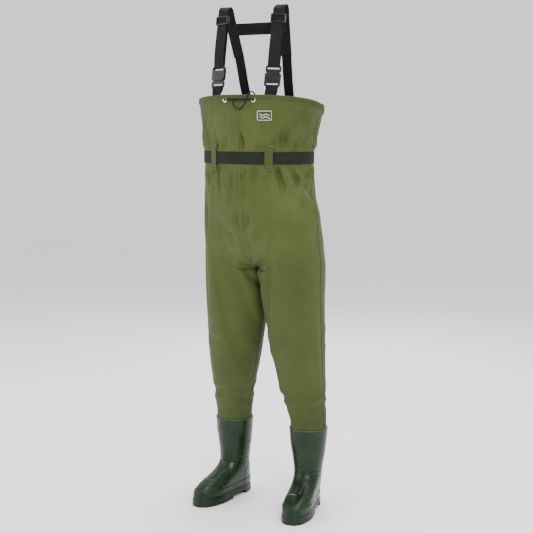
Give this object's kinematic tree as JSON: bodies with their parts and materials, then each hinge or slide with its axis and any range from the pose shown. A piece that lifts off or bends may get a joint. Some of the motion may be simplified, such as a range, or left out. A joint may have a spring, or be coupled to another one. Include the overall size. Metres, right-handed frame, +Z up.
{
  "type": "chest waders",
  "caption": "Fabric chest waders with welded boots, an adjustable belt and buckled suspenders that hold the bib up over the shoulders.",
  "frame": {"origin": "middle of the object's box on the ground under the soles", "axes": "+Z up, the wearer faces -Y, the wearer's left is +X"},
  "size_m": [0.428, 0.3185, 1.6298],
  "materials": {
    "coated_fabric": "matt olive coated nylon",
    "seam_tape": "satin tape",
    "eyelet_metal": "polished pale metal",
    "cord": "braided",
    "label_rubber": "matt",
    "black_plastic": "satin moulded",
    "sole_pvc": "satin",
    "insole_felt": "felt",
    "boot_pvc": "satin to glossy moulded PVC",
    "elastic_webbing": "ribbed elastic",
    "black_webbing": "woven"
  },
  "bodies": {
    "garment": {"back_hem_facing": "coated_fabric", "back_left_belt_loop": "coated_fabric", "back_left_panel": "coated_fabric", "back_right_belt_loop": "coated_fabric", "back_right_panel": "coated_fabric", "belt_buckle_housing": "black_plastic", "centre_back_seam_tape": "seam_tape", "centre_front_seam_tape": "seam_tape", "chest_label": "label_rubber", "cross_strap": "black_webbing", "drawcord_front": "cord", "drawcord_left_tunnel": "cord", "drawcord_loop": "cord", "drawcord_right_tunnel": "cord", "front_hem_facing": "coated_fabric", "front_left_belt_loop": "coated_fabric", "front_left_panel": "coated_fabric", "front_right_belt_loop": "coated_fabric", "front_right_panel": "coated_fabric", "left_back_elastic": "elastic_webbing", "left_boot": "boot_pvc", "left_buckle_housing": "black_plastic", "left_eyelet": "eyelet_metal", "left_eyelet_washer": "eyelet_metal", "left_front_loop": "black_webbing", "left_front_tab": "black_webbing", "left_inseam_tape": "seam_tape", "left_insole": "insole_felt", "left_outsole": "sole_pvc", "left_shoulder_strap": "black_webbing", "left_side_seam_tape": "seam_tape", "right_back_elastic": "elastic_webbing", "right_boot": "boot_pvc", "right_buckle_plug": "black_plastic", "right_eyelet": "eyelet_metal", "right_eyelet_washer": "eyelet_metal", "right_front_loop": "black_webbing", "right_front_tab": "black_webbing", "right_inseam_tape": "seam_tape", "right_insole": "insole_felt", "right_outsole": "sole_pvc", "right_shoulder_strap": "black_webbing", "right_side_seam_tape": "seam_tape", "waist_belt": "black_webbing"},
    "left_plug": {"left_buckle_plug": "black_plastic"},
    "right_housing": {"right_buckle_housing": "black_plastic"},
    "belt_plug": {"belt_buckle_plug": "black_plastic"},
    "left_slider": {"left_slider": "black_plastic"},
    "right_slider": {"right_slider": "black_plastic"},
    "left_prong_a": {"left_buckle_prong_a": "black_plastic"},
    "left_prong_b": {"left_buckle_prong_b": "black_plastic"},
    "right_prong_a": {"right_buckle_prong_a": "black_plastic"},
    "right_prong_b": {"right_buckle_prong_b": "black_plastic"},
    "belt_prong_a": {"belt_buckle_prong_a": "black_plastic"},
    "belt_prong_b": {"belt_buckle_prong_b": "black_plastic"}
  },
  "joints": [
    {"name": "left_buckle_release", "type": "slide", "parent": "garment", "child": "left_plug", "axis": [0.0103, 0.1855, 0.9826], "range_m": [0, 0.035], "deforming": ["left_front_loop"]},
    {"name": "left_prong_a_squeeze", "type": "hinge", "parent": "left_plug", "child": "left_prong_a", "pos_m": [0.11208, -0.10333, 1.41672], "axis": [-0.1708, 0.9685, -0.1811], "range_deg": [0, 10], "stiffness_Nm_per_rad": 0.05},
    {"name": "left_prong_b_squeeze", "type": "hinge", "parent": "left_plug", "child": "left_prong_b", "pos_m": [0.08252, -0.10831, 1.41797], "axis": [0.1708, -0.9685, 0.1811], "range_deg": [0, 10], "stiffness_Nm_per_rad": 0.05},
    {"name": "right_buckle_release", "type": "slide", "parent": "garment", "child": "right_housing", "axis": [-0.0103, 0.1855, 0.9826], "range_m": [0, 0.035], "deforming": ["right_front_loop"]},
    {"name": "right_prong_a_squeeze", "type": "hinge", "parent": "garment", "child": "right_prong_a", "pos_m": [-0.11192, -0.1063, 1.401], "axis": [0.1708, 0.9685, -0.1811], "range_deg": [0, 10], "stiffness_Nm_per_rad": 0.05},
    {"name": "right_prong_b_squeeze", "type": "hinge", "parent": "garment", "child": "right_prong_b", "pos_m": [-0.08236, -0.11128, 1.40225], "axis": [-0.1708, -0.9685, 0.1811], "range_deg": [0, 10], "stiffness_Nm_per_rad": 0.05},
    {"name": "belt_buckle_release", "type": "slide", "parent": "garment", "child": "belt_plug", "axis": [1, 0, 0], "range_m": [0, 0.035], "deforming": ["waist_belt"]},
    {"name": "belt_prong_a_squeeze", "type": "hinge", "parent": "belt_plug", "child": "belt_prong_a", "pos_m": [0.008, 0.1115, 1.175], "axis": [0, -1, 0], "range_deg": [0, 10], "stiffness_Nm_per_rad": 0.05},
    {"name": "belt_prong_b_squeeze", "type": "hinge", "parent": "belt_plug", "child": "belt_prong_b", "pos_m": [0.008, 0.1115, 1.145], "axis": [0, 1, 0], "range_deg": [0, 10], "stiffness_Nm_per_rad": 0.05},
    {"name": "left_slider_adjust", "type": "slide", "parent": "garment", "child": "left_slider", "axis": [0.0103, 0.1855, 0.9826], "range_m": [-0.09, 0]},
    {"name": "right_slider_adjust", "type": "slide", "parent": "garment", "child": "right_slider", "axis": [-0.0103, 0.1855, 0.9826], "range_m": [-0.09, 0]}
  ]
}
